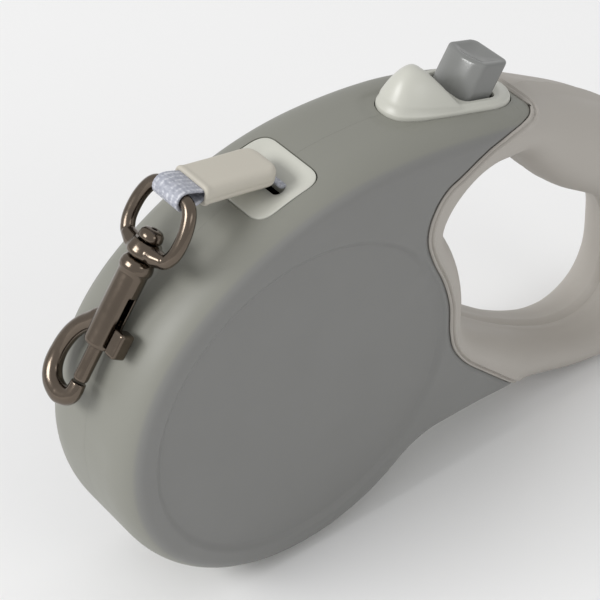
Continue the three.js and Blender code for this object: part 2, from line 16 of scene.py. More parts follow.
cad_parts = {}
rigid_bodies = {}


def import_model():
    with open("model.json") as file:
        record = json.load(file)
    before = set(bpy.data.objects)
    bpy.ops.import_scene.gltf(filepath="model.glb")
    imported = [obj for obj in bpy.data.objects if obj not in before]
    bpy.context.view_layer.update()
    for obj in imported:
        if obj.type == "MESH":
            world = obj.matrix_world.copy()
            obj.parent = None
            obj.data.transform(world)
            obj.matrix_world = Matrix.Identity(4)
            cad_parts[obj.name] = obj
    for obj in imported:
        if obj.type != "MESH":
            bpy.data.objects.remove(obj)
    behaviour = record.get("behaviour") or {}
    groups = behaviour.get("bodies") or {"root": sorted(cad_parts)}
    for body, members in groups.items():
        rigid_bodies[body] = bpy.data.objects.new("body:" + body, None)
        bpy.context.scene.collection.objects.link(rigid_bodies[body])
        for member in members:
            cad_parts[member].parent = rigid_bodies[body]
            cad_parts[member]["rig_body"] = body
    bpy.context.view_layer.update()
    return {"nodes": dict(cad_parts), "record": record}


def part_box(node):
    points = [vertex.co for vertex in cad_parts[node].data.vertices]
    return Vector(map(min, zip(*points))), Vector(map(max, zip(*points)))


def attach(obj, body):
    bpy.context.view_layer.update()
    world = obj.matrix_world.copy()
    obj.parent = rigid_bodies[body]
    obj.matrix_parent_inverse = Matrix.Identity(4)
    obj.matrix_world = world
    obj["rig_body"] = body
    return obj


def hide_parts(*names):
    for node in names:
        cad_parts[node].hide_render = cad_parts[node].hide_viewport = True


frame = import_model()
low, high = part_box("tape_pack")
CENTRE = ((low.x + high.x) / 2, (low.z + high.z) / 2)

# ---- Driving dimensions ----
DRUM_R = 53.0
RIM_TOP = 60.6  # the rim's highest point, and the radii of the arcs before and behind it
RIM_TOP_X = 22
RIM_FRONT_R = 88.7
RIM_REAR_R = 150
RIM_REAR_END = 47.7  # degrees
WEB_R = 20  # hollow below the web, behind the drum
HALF_WIDTH = 18.0
SEAM = 0.015  # half of the gap between the casing's two halves
SKIN = 1.5  # wall of the casing's and the grip's outer skin
GROOVE = 0.11  # half of the dark groove between the shell and the grip
GROOVE_ZONE = 3.2  # the groove's own rows of points reach this far to each side
DISC_R = 44.0  # the shallow disc in the casing's side
DISC_DEPTH = 1.1
STEP = 1.2  # spacing of an outline's points, away from the groove
EDGE_GAP = 0.06  # least distance of an inner point from an outline
LOOP_CENTRE = (-24.3, 65.2)
LOOP_R = 2.25
WEBBING = (4.75, 0.44)  # half its width and half its thickness
BOOT_REAR = (0.25, 61.0)
BOOT_ANGLE = math.radians(10.3)
BOOT_HALF = (6.1, 2.45)  # half its width and half its height
BOOT_TAIL = 1.1  # how far the boot's rounded rear reaches into the bezel's dish
HANG_ANGLE = math.radians(34.5)
BUTTON_SEAT = (60.9, 55.5)
BUTTON_ANGLE = math.radians(32)
SCREW_HOLE = 3.1  # radius
HUMP_X = 46.3  # the hump's peak
SCREWS = ((25.5, 54.2), (55.5, -27.0), (129.5, -21.0), (99.0, 23.0))


# ---- Small helpers ----
def place(points):
    p = np.asarray(points, float)
    return np.stack([p[:, 0] / 1000 + CENTRE[0], p[:, 1] / 1000, p[:, 2] / 1000 + CENTRE[1]], 1)


def make(name, points, faces, angle=35.0, recalc=True):
    """A mesh object from millimetre points, with smooth shading that breaks at sharp corners."""
    data = bpy.data.meshes.new(name)
    data.from_pydata(place(points).tolist(), [], [tuple(int(i) for i in f) for f in faces])
    obj = bpy.data.objects.new(name, data)
    bpy.context.scene.collection.objects.link(obj)
    if recalc:
        bm = bmesh.new()
        bm.from_mesh(data)
        bmesh.ops.recalc_face_normals(bm, faces=bm.faces)
        bm.to_mesh(data)
        bm.free()
    shade(obj, angle)
    return obj


def shade(obj, angle):
    obj.data.shade_smooth()
    obj.data.set_sharp_from_angle(angle=math.radians(angle))


def bake(obj, angle=35.0):
    """Applies the object's modifiers."""
    bpy.context.view_layer.update()
    graph = bpy.context.evaluated_depsgraph_get()
    data = bpy.data.meshes.new_from_object(obj.evaluated_get(graph))
    obj.modifiers.clear()
    obj.data = data
    shade(obj, angle)
    return obj


def cut(obj, tool, operation="DIFFERENCE"):
    """Subtracts the tool, or joins it on with UNION, and deletes it."""
    step = obj.modifiers.new("cut", "BOOLEAN")
    step.object = tool
    step.operation = operation
    step.solver = "EXACT"
    bake(obj)
    bpy.data.objects.remove(tool)


def merge(name, objects, angle=35.0):
    """One object from several, which keep their own shapes."""
    bm = bmesh.new()
    for obj in objects:
        bm.from_mesh(obj.data)
        bpy.data.objects.remove(obj)
    data = bpy.data.meshes.new(name)
    bm.to_mesh(data)
    bm.free()
    joined = bpy.data.objects.new(name, data)
    bpy.context.scene.collection.objects.link(joined)
    shade(joined, angle)
    return joined


def ring_faces(rows, n, closed=False):
    """Quads between rows of n points each; closed also joins the last row to the first."""
    faces = []
    for r in range(rows if closed else rows - 1):
        a, b = r * n, ((r + 1) % rows) * n
        faces += [(a + i, a + (i + 1) % n, b + (i + 1) % n, b + i) for i in range(n)]
    return faces


def capped(rows, n):
    """The same quads, with a face over the first row and one over the last."""
    return ring_faces(rows, n) + [tuple(range(n)), tuple(range((rows - 1) * n, rows * n))]


def smooth(t):
    """An even step from 0 to 1."""
    t = np.clip(t, 0, 1)
    return t * t * (3 - 2 * t)


def arc(cx, cz, r, start, end, count=60):
    a = np.radians(np.linspace(start, end, count))
    return np.stack([cx + r * np.cos(a), cz + r * np.sin(a)], 1)


def bezier(a, b, c, d, count=80):
    t = np.linspace(0, 1, count)[:, None]
    a, b, c, d = map(np.asarray, (a, b, c, d))
    return (1 - t) ** 3 * a + 3 * (1 - t) ** 2 * t * b + 3 * (1 - t) * t * t * c + t**3 * d


def spline(points, count=16, loop=False):
    """A Catmull-Rom curve through the points."""
    p = np.asarray(points, float)
    if loop:
        p = np.vstack([p[-1:], p, p[:2]])
    else:
        p = np.vstack([2 * p[0] - p[1], p, 2 * p[-1] - p[-2]])
    t = np.linspace(0, 1, count, endpoint=False)[:, None]
    parts = []
    for k in range(1, len(p) - 2):
        a, b, c, d = p[k - 1 : k + 3]
        square, cube = a - 2.5 * b + 2 * c - d / 2, 1.5 * (b - c) + (d - a) / 2
        parts.append(b + t * (c - a) / 2 + t**2 * square + t**3 * cube)
    if not loop:
        parts.append(p[-2:-1])
    return np.vstack(parts)


def resample(line, count, loop=False):
    """The same line with evenly spaced points."""
    if loop:
        line = np.vstack([line, line[:1]])
    run = np.concatenate([[0], np.cumsum(np.linalg.norm(np.diff(line, axis=0), axis=1))])
    at = np.linspace(0, run[-1], count, endpoint=not loop)
    return np.stack([np.interp(at, run, line[:, k]) for k in range(line.shape[1])], 1)


def walk(line, step_at):
    """Points along a line whose spacing step_at gives for each place."""
    run = np.concatenate([[0], np.cumsum(np.linalg.norm(np.diff(line, axis=0), axis=1))])
    fine = np.linspace(0, run[-1], int(run[-1] / 0.05) + 2)
    dense = np.stack([np.interp(fine, run, line[:, k]) for k in range(2)], 1)
    pace = np.concatenate([[0], np.cumsum(np.diff(fine) / step_at(dense[:-1]))])
    at = np.linspace(0, pace[-1], int(math.ceil(pace[-1])) + 1)
    where = np.interp(at, pace, fine)
    return np.stack([np.interp(where, fine, dense[:, k]) for k in range(2)], 1)


def rounded(corners, radius, count=6):
    """A closed outline through the corners, each of them rounded off."""
    p = np.asarray(corners, float)
    radii = np.broadcast_to(radius, len(p))
    out = []
    for k, corner in enumerate(p):
        before, after = p[k - 1] - corner, p[(k + 1) % len(p)] - corner
        size = min(radii[k], 0.48 * np.linalg.norm(before), 0.48 * np.linalg.norm(after))
        a = corner + before / np.linalg.norm(before) * size
        b = corner + after / np.linalg.norm(after) * size
        t = np.linspace(0, 1, count)[:, None]
        out.append((1 - t) ** 2 * a + 2 * t * (1 - t) * corner + t * t * b)
    return np.vstack(out)


def tangents(line, loop=True):
    if loop:
        d = np.roll(line, -1, 0) - np.roll(line, 1, 0)
    else:
        d = np.gradient(line, axis=0)
    return d / np.linalg.norm(d, axis=1)[:, None]


def near(points, line):
    """Distance from each point to a line, and the side it lies on: 1 is the left."""
    a, d = line[:-1], np.diff(line, axis=0)
    length = (d**2).sum(1)
    distance, side = np.empty(len(points)), np.empty(len(points))
    for s in range(0, len(points), 3000):
        p = points[s : s + 3000, None, :] - a[None]
        t = np.clip((p * d).sum(2) / length, 0, 1)
        off = p - t[..., None] * d
        square = (off**2).sum(2)
        k = square.argmin(1)
        i = np.arange(len(k))
        distance[s : s + 3000] = np.sqrt(square[i, k])
        side[s : s + 3000] = np.sign(d[k, 0] * off[i, k, 1] - d[k, 1] * off[i, k, 0])
    return distance, side


# ---- The casing's outlines, in x and z ----
def rim_line():
    reach, bearing = DRUM_R + WEB_R, math.radians(-52)
    web = (reach * math.cos(bearing), reach * math.sin(bearing))
    rear = (RIM_TOP_X, RIM_TOP - RIM_REAR_R)
    bearing = math.radians(RIM_REAR_END)
    end = (rear[0] + RIM_REAR_R * math.cos(bearing), rear[1] + RIM_REAR_R * math.sin(bearing))
    parts = [
        arc(0, 0, DRUM_R, 128, 308, 300),
        arc(*web, WEB_R, 128, 90, 40),
        bezier((web[0], web[1] + WEB_R), (75, -37.5), (100, -53), (112, -53)),
        bezier((112, -53), (128, -53), (139, -38), (139, -16)),
        bezier((139, -16), (139, -3), (end[0] + 8.9, end[1] - 8.1), end),
        arc(*rear, RIM_REAR_R, RIM_REAR_END, 90, 160),
        arc(RIM_TOP_X, RIM_TOP - RIM_FRONT_R, RIM_FRONT_R, 90, 128, 120),
    ]
    line = np.vstack([p[:-1] for p in parts])
    return np.vstack([line, line[:1]])


def opening_line():
    back = spline([
        (67.6, 39.5), (71.6, 38.5), (74.4, 35.6), (76.8, 32.0), (80.2, 27.4), (85, 21.6), (92.3, 14.8),
        (103.6, 7.2), (113.8, -1.2), (119.6, -11.5), (120.8, -21.5), (121, -31), (118.2, -38.4),
        (111.6, -42.2), (103, -41.8), (94, -38.4), (84, -32.7), (75, -26.6), (66.8, -20.2), (59.5, -14.3),
    ])
    start = arc(0, 0, 53.6, -9, 32.3, 60)
    knuckle = arc(59.8, 25.6, 15.1, 169.5, 72, 50)
    line = np.vstack([start, knuckle, back])
    for _ in range(30):  # soft corners, as a moulding has
        line = 0.5 * line + 0.25 * (np.roll(line, 1, 0) + np.roll(line, -1, 0))
    line = resample(line, 900, loop=True)
    return np.vstack([line, line[:1]])


def grip_line():
    return spline([
        (77.6, 75), (77.6, 60), (77.8, 52.6), (76.8, 50.6), (74.0, 50.2), (70.2, 50.5), (65.1, 50.8),
        (60.9, 50.6), (56.8, 50), (52, 48.4), (47, 46.2), (43.2, 44.5), (39.9, 41.0), (37.6, 35.6),
        (37.4, 29.8), (39.6, 23), (43.2, 14.8), (45.6, 6), (46.2, -3), (48, -10), (52.6, -17.2),
        (60, -25), (70.3, -35.4), (74.4, -39.4), (80, -46), (84, -60),
    ])


RIM = rim_line()
OPENING = opening_line()
GRIP = grip_line()
TRIM_HALF = [
    (36.6, 0), (36.9, 2.3), (38.4, 4.8), (42.0, 7.0), (46.6, 8.5), (53.1, 9.5), (61.2, 10.0), (65.6, 9.8),
    (69.9, 8.4), (73.6, 5.1), (75.6, 0),
]


def mirrored(half):
    return np.asarray(half + [(x, -y) for x, y in half[-2:0:-1]], float)


TRIM = resample(spline(mirrored(TRIM_HALF), 12, loop=True), 160, loop=True)


def top(x):
    """Height of the rim above the spool's centre, over its upper part."""
    x = np.asarray(x, float)
    off = x - RIM_TOP_X
    rear = RIM_TOP - RIM_REAR_R + np.sqrt(RIM_REAR_R**2 - off**2)
    front = RIM_TOP - RIM_FRONT_R + np.sqrt(RIM_FRONT_R**2 - np.minimum(off, 0) ** 2)
    return np.where(off > 0, rear, front)


def tread(x, z=40.0):
    """Half width of the rim's flat middle, which narrows into the handle, later at the bottom."""
    start = 96 - 26 * smooth((z + 20) / 40)
    return 8.5 - 5 * smooth((x - start) / 25)


def opening_tread(x):
    """The same for the wall of the hand opening."""
    return 8.5 - 5.2 * smooth((x - 64) / 22)


def shoulder(x):
    """How far in from the outline the side's rounding reaches."""
    return 5.5 + 4 * smooth((x - 66) / 25)


def width(x):
    """Half width of the casing and handle."""
    return HALF_WIDTH - 3 * smooth((x - 45) / 40)


def over_rim(x, y):
    """Height of the casing's top at a place seen from above."""
    across = np.clip((np.abs(y) - tread(x)) / (width(x) - tread(x)), 0, 0.98)
    return top(x) - shoulder(x) * (1 - np.sqrt(1 - across**2))


def signed_grip(p):
    """Distance from the middle of the groove, positive on the grip's side."""
    distance, side = near(p, GRIP)
    return distance * side


def relief(g):
    """How far the surface stands out near the groove between shell and grip, g mm from its middle."""

    def bump(middle, spread):
        return np.exp(-(((g - middle) / spread) ** 2))

    shell = -0.4 * (1 - smooth((-g - GROOVE) / 1.0)) * (g < 0)
    lip = 0.3 * bump(0.5, 0.3) - 0.32 * bump(1.02, 0.24) + 0.5 * bump(1.6, 0.42) - 0.3 * bump(0.1, 0.16)
    return np.where(g < 0, shell, lip)


def halo(x, y):
    """A shallow moulded step in the rim, a few mm outside the button's trim."""
    plan = np.stack([x, y], 1)
    distance, _ = near(plan, np.vstack([TRIM, TRIM[:1]]))
    inside = smooth((3.9 - distance) / 0.9)
    return -0.28 * inside * (x < 66) * smooth((66 - x) / 8)


# ---- The casing's and the grip's skins ----
def pace(p):
    """Spacing of an outline's points, closest at the groove."""
    g = np.abs(signed_grip(p))
    return np.where(g < 0.45, 0.1, np.where(g < 2.6, 0.28, STEP))


def near_side_plan():
    """Points and triangles of one side face, seen along the spool's axle."""
    loops = [walk(RIM, pace)[:-1], walk(OPENING, pace)[:-1]]
    outlines = [np.vstack([loop, loop[:1]]) for loop in loops]
    taken = set()

    def inside(p):
        rim_d, rim_side = near(p, outlines[0])
        hole_d, hole_side = near(p, outlines[1])
        return np.minimum(rim_d, hole_d), (rim_side > 0) & (hole_side > 0)

    def clear(p, margin):
        nearest, ok = inside(p)
        return ok & (nearest > margin)

    def keep(p, cell):
        """The first point in each square of a grid."""
        good = np.zeros(len(p), bool)
        for i, (x, z) in enumerate(p):
            key = (round(x / cell), round(z / cell), cell)
            if key not in taken:
                taken.add(key)
                good[i] = True
        return p[good]

    grip = walk(GRIP, lambda p: np.full(len(p), 0.7))
    t = tangents(grip, loop=False)
    left = np.stack([-t[:, 1], t[:, 0]], 1)

    def rail(offset):
        """Points along the groove, moved sideways."""
        p = grip + left * offset
        return p[clear(p, EDGE_GAP) & (np.abs(np.abs(signed_grip(p)) - abs(offset)) < 0.02)]

    banks = [rail(-GROOVE), rail(GROOVE)]
    rows = (
        -2.0, -1.5, -1.1, -0.8, -0.5, -0.3, 0.25, 0.4, 0.55, 0.72, 0.87, 1.02, 1.17, 1.35, 1.55, 1.75, 2.0,
        2.4, 3.0,
    )
    kept = [keep(rail(offset), 0.08) for offset in rows]

    contours = []
    for loop in loops:
        t = tangents(loop)
        inward = np.stack([-t[:, 1], t[:, 0]], 1)
        for angle in np.radians(np.arange(9, 91, 9)):
            offset = shoulder(loop[:, 0]) * (1 - math.cos(angle))
            contours.append((loop + inward * offset[:, None], np.maximum(offset * 0.985 - 0.02, EDGE_GAP)))
    turn = np.radians(np.arange(0, 360, 1.6))
    circle = np.stack([np.cos(turn), np.sin(turn)], 1)
    disc_edge = [(radius * circle, EDGE_GAP) for radius in np.linspace(DISC_R - 1.4, DISC_R + 1.6, 11)]
    field = np.mgrid[-56:142:3.2, -56:64:3.2].reshape(2, -1).T
    field = field + 0.4 * np.sin(field[:, ::-1] * 7.3)
    field = field[np.abs(np.hypot(*field.T) - DISC_R) > 2.2]
    for p, margin in [*contours, *disc_edge, (field, shoulder(field[:, 0]) + 1)]:
        kept.append(keep(p[clear(p, margin) & (np.abs(signed_grip(p)) > GROOVE_ZONE)], 0.18))
    for p, margin in contours:
        g = np.abs(signed_grip(p))
        kept.append(keep(p[clear(p, margin) & (g <= GROOVE_ZONE) & (g > GROOVE)], 0.3))

    turn = np.linspace(0, 2 * math.pi, 40, endpoint=False)
    circles = []
    inner = np.vstack(kept)
    for x, z in SCREWS:
        circles.append(np.stack([x + SCREW_HOLE * np.cos(turn), z + SCREW_HOLE * np.sin(turn)], 1))
        off = np.hypot(inner[:, 0] - x, inner[:, 1] - z)
        inner = inner[np.abs(off - SCREW_HOLE) > 0.25]
    points = np.vstack([*loops, *circles, *banks, inner])
    edges, start = [], 0
    for loop in [*loops, *circles]:
        n = len(loop)
        edges += [(start + i, start + (i + 1) % n) for i in range(n)]
        start += n
    for bank in banks:
        joined = np.linalg.norm(np.diff(bank, axis=0), axis=1) < 1.5
        edges += [(start + i, start + i + 1) for i in np.flatnonzero(joined)]
        start += len(bank)
    found = delaunay_2d_cdt([Vector(p) for p in points], edges, [], 0, 1e-4)
    verts = np.array([tuple(v) for v in found[0]])
    faces = np.array([f for f in found[2] if len(f) == 3])
    middle = verts[faces].mean(1)
    _, ok = inside(middle)
    return verts, faces[ok], middle[ok], outlines


def outward_directions(verts, outlines, distances):
    """Which way out of the nearest outline each point lies."""
    nearest = np.minimum(*distances)
    outward = np.zeros_like(verts)
    for line, d in zip(outlines, distances):
        seg = np.diff(line, axis=0)
        mid = (line[:-1] + line[1:]) / 2
        pick = np.where(d <= nearest + 1e-9)[0]
        for s in range(0, len(pick), 3000):
            rows = pick[s : s + 3000]
            k = ((verts[rows, None] - mid[None]) ** 2).sum(2).argmin(1)
            n = seg[k] / np.linalg.norm(seg[k], axis=1)[:, None]
            outward[rows] = np.stack([n[:, 1], -n[:, 0]], 1)
    return outward


def build_sides():
    """Points, faces and face weights of the four skins, all drawn on the near side: the weight sets where the
    casing's rim gets its painted light.
    """
    verts, faces, middle, outlines = near_side_plan()
    a, b, c = verts[faces].transpose(1, 0, 2)
    flip = np.cross(b - a, c - a) < 0
    faces[flip] = faces[flip][:, ::-1]
    rim_d, _ = near(verts, outlines[0])
    hole_d, _ = near(verts, outlines[1])
    x = verts[:, 0]
    reach = shoulder(x)

    def rise(d):
        return np.sqrt(np.clip(1 - (1 - np.clip(d / reach, 0, 1)) ** 2, 0, 1))

    lean = hole_d / np.maximum(rim_d + hole_d, 1e-9)
    base = tread(x, verts[:, 1]) * lean + opening_tread(x) * (1 - lean)
    y = base + (width(x) - base) * rise(rim_d) * rise(hole_d)
    y -= DISC_DEPTH * (1 - smooth((np.hypot(*verts.T) - DISC_R + 1.2) / 2.4))
    g = signed_grip(verts)
    nearest = np.minimum(rim_d, hole_d)
    on_edge = nearest < 1e-3
    flat = smooth(nearest / reach)
    y += relief(g) * flat
    # towards the rim the relief turns from sideways to outwards
    outward = outward_directions(verts, outlines, (rim_d, hole_d))
    push = relief(g) * (1 - flat)
    plan = verts + outward * push[:, None]
    # painted light: 0 on the rim and shoulder, which get a lighter, warmer grey, rising to 1 on the flat
    # face, which keeps the darker grey
    face_vs_lit_rim_weight = smooth((nearest / reach - 0.38) / 0.22)

    owner = {}
    for index, f in enumerate(faces):
        for i in range(3):
            owner[(f[i], f[(i + 1) % 3])] = index
    boundary = [e for e in owner if (e[1], e[0]) not in owner and on_edge[e[0]] and on_edge[e[1]]]
    outward_of = {int(v): outward[v] for e in boundary for v in e}
    levels = np.array([1.0, 0.93, 0.84, 0.73, 0.61, 0.48, 0.35, 0.23, 0.13, 0.05, 0.0])
    pieces = {}
    solid_side = np.ones(len(middle), bool)
    for screw_x, screw_z in SCREWS:
        solid_side &= np.hypot(middle[:, 0] - screw_x, middle[:, 1] - screw_z) > SCREW_HOLE
    for name in ("left_shell", "left_grip", "right_shell", "right_grip"):
        here = (g[faces] > 0 if name.endswith("grip") else g[faces] < 0).all(1)
        chosen = np.where(here & (solid_side | name.startswith("left")))[0]
        chosen_set = set(chosen.tolist())
        table, points, face_vs_lit_rim_weights = {}, [], []

        def corner(v):
            if ("f", v) not in table:
                table[("f", v)] = len(points)
                points.append((plan[v, 0], -y[v], plan[v, 1]))
                face_vs_lit_rim_weights.append(face_vs_lit_rim_weight[v])
            return table[("f", v)]

        def strip(v, level):
            if level == 0:
                return corner(v)
            key = ("s", v, level)
            if key not in table:
                x0, z0 = verts[v]
                on_hole = hole_d[v] < rim_d[v]
                half = float(opening_tread(x0) if on_hole else tread(x0, z0))
                across = SEAM + (half - SEAM) * levels[level]
                out = relief(g[v])
                ridge = smooth((x0 - 77) / 6) * smooth((z0 + 30) / 20)
                if on_hole:
                    crease, swell = math.exp(-((across / 0.7) ** 2)), math.exp(-(((across - 2.2) / 0.8) ** 2))
                    out += -0.4 * crease + 0.25 * swell
                else:
                    out += 1.3 * ridge * (1 - levels[level]) * (0.4 + 0.6 * smooth((130 - x0) / 30))
                    if z0 > 40 and x0 < 70:
                        out += halo(np.array([x0]), np.array([across]))[0]
                n = outward_of[v]
                table[key] = len(points)
                points.append((x0 + n[0] * out, -across, z0 + n[1] * out))
                face_vs_lit_rim_weights.append(0.0)
            return table[key]

        made = [tuple(corner(v) for v in faces[i]) for i in chosen]
        for edge in boundary:
            if owner[edge] in chosen_set:
                i, j = (int(v) for v in edge)
                for level in range(len(levels) - 1):
                    made.append((strip(j, level), strip(i, level), strip(i, level + 1), strip(j, level + 1)))
        pieces[name] = (np.array(points), made, np.array(face_vs_lit_rim_weights))
    return pieces


def skin(name, points, faces, face_vs_lit_rim_weights, side):
    """One half of the shell or grip: side is -1 for the near half and 1 for the far one."""
    points = points * np.array([1, -side, 1])
    if side > 0:
        faces = [tuple(reversed(f)) for f in faces]
    obj = make(name, points, faces, recalc=False)
    # the face attribute carries the weight between the casing's painted-light rim grey and its face grey
    layer = obj.data.attributes.new("face", "FLOAT", "POINT")
    layer.data.foreach_set("value", face_vs_lit_rim_weights.astype(np.float32))
    normal = obj.data.polygons[0].normal
    if normal.y * side < 0:
        obj.data.flip_normals()
    thick = obj.modifiers.new("thick", "SOLIDIFY")
    thick.thickness = SKIN / 1000
    thick.offset = -1
    thick.use_even_offset = False
    return bake(obj, 40)


def prism(name, outline, z0, z1):
    n = len(outline)
    points = [(x, y, z0) for x, y in outline] + [(x, y, z1) for x, y in outline]
    return make(name, points, capped(2, n))


def rectangle(half_x, half_y, radius, x=0.0):
    corners = [(x - half_x, -half_y), (x + half_x, -half_y), (x + half_x, half_y), (x - half_x, half_y)]
    return rounded(corners, radius * 1.3, 10)


def grown(outline, amount):
    """A closed outline moved outwards by an amount."""
    t = tangents(outline)
    normal = np.stack([t[:, 1], -t[:, 0]], 1)
    x, z = outline.T
    area = (x * np.roll(z, -1) - np.roll(x, -1) * z).sum()
    return outline + normal * amount * np.sign(area)


def skin_top(x, z):
    """Half the casing's width at a screw's well, a little below the lowest place on the well's rim."""
    rim_d, _ = near(np.array([[x, z]]), RIM)
    hole_d, _ = near(np.array([[x, z]]), OPENING)
    nearest = min(rim_d[0], hole_d[0]) - WELL_R
    rise = math.sqrt(1 - (1 - min(1, max(0, nearest / shoulder(x)))) ** 2)
    return tread(x) + (width(x) - tread(x)) * rise - 0.8


WELL_R = 3.9  # the screw well's outside
BEZEL = resample(rectangle(9.3, 11.1, 3.6, 0.6), 160, loop=True)
skins = build_sides()
shown = {}
for side, word in ((-1, "left"), (1, "right")):
    for kind in ("shell", "grip"):
        piece = skin(f"{word}_{kind}_skin", *skins[f"{word}_{kind}"], side)
        if kind == "shell":
            cut(piece, prism("tool", grown(BEZEL, 0.25), 48, 80))
        cut(piece, prism("tool", grown(TRIM, 0.25), 44, 80))
        shown[f"{word}_{kind}"] = piece
for number, (x, z) in enumerate(SCREWS):
    key = "right_shell" if number < 2 else "right_grip"
    piece = shown[key]
    depth = float(skin_top(x, z))
    cup = [(SCREW_HOLE, 9.4), (SCREW_HOLE, depth), (WELL_R, depth), (WELL_R, 9.4)]
    turn = np.linspace(0, 2 * math.pi, 48, endpoint=False)
    rows = [np.column_stack([x + r * np.cos(turn), np.full(48, y), z + r * np.sin(turn)]) for r, y in cup]
    well = make("well", np.vstack(rows), ring_faces(4, 48, closed=True))
    shown[key] = merge(f"{key}_skin", [piece, well], 40)
for key, piece in shown.items():
    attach(piece, "housing")
    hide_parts(key)


# ---- Bezel round the tape's mouth ----
def build_bezel():
    outer = grown(BEZEL, -0.03)
    mouth = resample(rectangle(1.7, 5.3, 1.3, 2.1), 160, loop=True)
    first_bearing = np.arctan2(outer[0, 1], outer[0, 0] - 0.6)
    start = np.argmin(np.abs(np.arctan2(mouth[:, 1], mouth[:, 0] - 2.1) - first_bearing))
    mouth = np.roll(mouth, -start, 0)
    rows = []
    lip = [(0, -2.6), (0, -1.4), (0, -0.45), (0.006, -0.16), (0.018, -0.02)]
    dish = [(t, -2.7 * max(0, (t - 0.06) / 0.94) ** 1.5) for t in np.linspace(0.035, 1, 26)]
    for t, z in lip + dish:
        plan = outer * (1 - t) + mouth * t
        rows.append(np.column_stack([plan, over_rim(plan[:, 0], plan[:, 1]) + z]))
    last = rows[-1]
    for inset, depth in ((0.15, 0.3), (0.25, 0.8), (0.25, 2.0), (0.25, 2.8)):
        rows.append(np.column_stack([grown(mouth, -inset), last[:, 2] - depth]))
    rows.append(np.column_stack([grown(mouth, 1.2), last[:, 2] - 2.8]))
    return make("bezel", np.vstack(rows), ring_faces(len(rows), len(outer), closed=True), 50)


bezel = build_bezel()
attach(bezel, "housing")
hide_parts("nozzle_bezel")


# ---- Trim round the button, with its hump ----
def hump(x, y):
    """Height above the rim: a dome over the trim's outline, with a slope in front of the button."""
    off = TRIM - np.array([HUMP_X, 0])
    bearing = np.arctan2(off[:, 1], off[:, 0])
    reach = np.interp(np.arctan2(y, x - HUMP_X), bearing, np.hypot(*off.T), period=2 * math.pi)
    q = np.clip(np.hypot(x - HUMP_X, y) / reach, 0, 1)
    dome = 1.2 + 9.2 * (1 - q**2.1) ** 1.12
    slope = 64.7 - (x - 50.8) * 1.42 - 0.015 * y**2 - top(x)
    k = 0.8
    return -k * np.log(np.exp(-dome / k) + np.exp(-np.clip(slope, -12, 20) / k))


def at_bearings(outline, centre, bearings):
    """The outline's points at these bearings from a place on the x axis."""
    own = np.arctan2(outline[:, 1], outline[:, 0] - centre)
    return np.stack([np.interp(bearings, own, outline[:, k], period=2 * math.pi) for k in (0, 1)], 1)


def build_trim():
    n = len(TRIM)
    slot = rounded([(56.0, -7.2), (66.9, -7.2), (66.9, 7.2), (56.0, 7.2)], 2.6, 12)
    bearings = np.linspace(0, 2 * math.pi, n, endpoint=False)
    slot = at_bearings(resample(slot, n, loop=True), 62, bearings)
    outer = at_bearings(TRIM, 60, bearings)
    rows = []
    for inset, z in ((0, -1.6), (0, -0.5), (0, 0.35), (0.08, 0.72), (0.25, 0.98), (0.5, 1.12)):
        plan = grown(outer, -inset)
        rows.append(np.column_stack([plan, over_rim(plan[:, 0], plan[:, 1]) + z]))
    base = grown(outer, -0.5)
    for t in np.linspace(0.03, 1, 30):
        plan = base * (1 - t) + grown(slot, 0.55) * t
        plate = 1.12 + 0.85 * smooth(t / 0.5)
        bump = hump(plan[:, 0], plan[:, 1])
        k = 0.35
        total = k * np.log(np.exp(plate / k) + np.exp(np.clip(bump, -20, 20) / k))
        rows.append(np.column_stack([plan, over_rim(plan[:, 0], plan[:, 1]) + total]))
    edge = rows[-1]
    for inset, drop in ((0.35, 0.12), (0.15, 0.4), (0, 0.85), (0, 2.5)):
        plan = grown(slot, inset)
        rows.append(np.column_stack([plan, edge[:, 2] - drop]))
    plan = grown(outer, -1.2)
    rows.append(np.column_stack([plan, over_rim(plan[:, 0], plan[:, 1]) - 1.7]))
    return make("trim", np.vstack(rows), ring_faces(len(rows), n, closed=True), 60)


trim = build_trim()
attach(trim, "housing")
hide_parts("button_trim")


# ---- Brake button ----
def build_button():
    corners = [(-5.7, 0), (-5.45, 2.2), (-4.7, 4.4), (-3.5, 6.7), (3.7, 6.7), (4.9, 5.3), (4.9, 0)]
    radii = (1.4, 1.4, 1.4, 0.8, 1.2, 0.8, 0.8, 0.8, 1.2, 0.8, 1.4, 1.4)
    n = 200
    outline = resample(rounded(mirrored(corners), radii, 8), n, loop=True)
    c, s = math.cos(BUTTON_ANGLE), math.sin(BUTTON_ANGLE)
    rows = []

    def row(plan, h):
        u, v = plan[:, 0], plan[:, 1]
        rows.append(np.column_stack([BUTTON_SEAT[0] + u * c + h * s, v, BUTTON_SEAT[1] - u * s + h * c]))

    def top_row(plan, drop):
        row(plan, 10.9 + 0.277 * plan[:, 0] - drop)

    for h in (-2.4, 0.0, 2.5, 5.0):
        row(outline, h)
    edge = ((0, 1.0), (0.03, 0.6), (0.14, 0.3), (0.34, 0.12), (0.6, 0.03), (0.9, 0.04), (1.197, 0.05))
    for inset, drop in edge:
        top_row(grown(outline, -inset), drop)
    for t in np.linspace(0.21, 0.985, 20)[1:]:
        top_row(outline * (1 - t), 0.05 + 0.95 * (1 - ((1 - t) / 0.79) ** 2))
    return make("button", np.vstack(rows), capped(len(rows), n), 50)


button = build_button()
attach(button, "button")
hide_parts("brake_button")


# ---- Boot, the tape's loop ----
def from_boot(points):
    """Moves points drawn along the boot, x forwards from its rear, to their place."""
    p = np.asarray(points, float)
    c, s = math.cos(BOOT_ANGLE), math.sin(BOOT_ANGLE)
    x = BOOT_REAR[0] - p[:, 0] * c + p[:, 2] * s
    z = BOOT_REAR[1] + p[:, 0] * s + p[:, 2] * c
    return np.column_stack([x, p[:, 1], z])


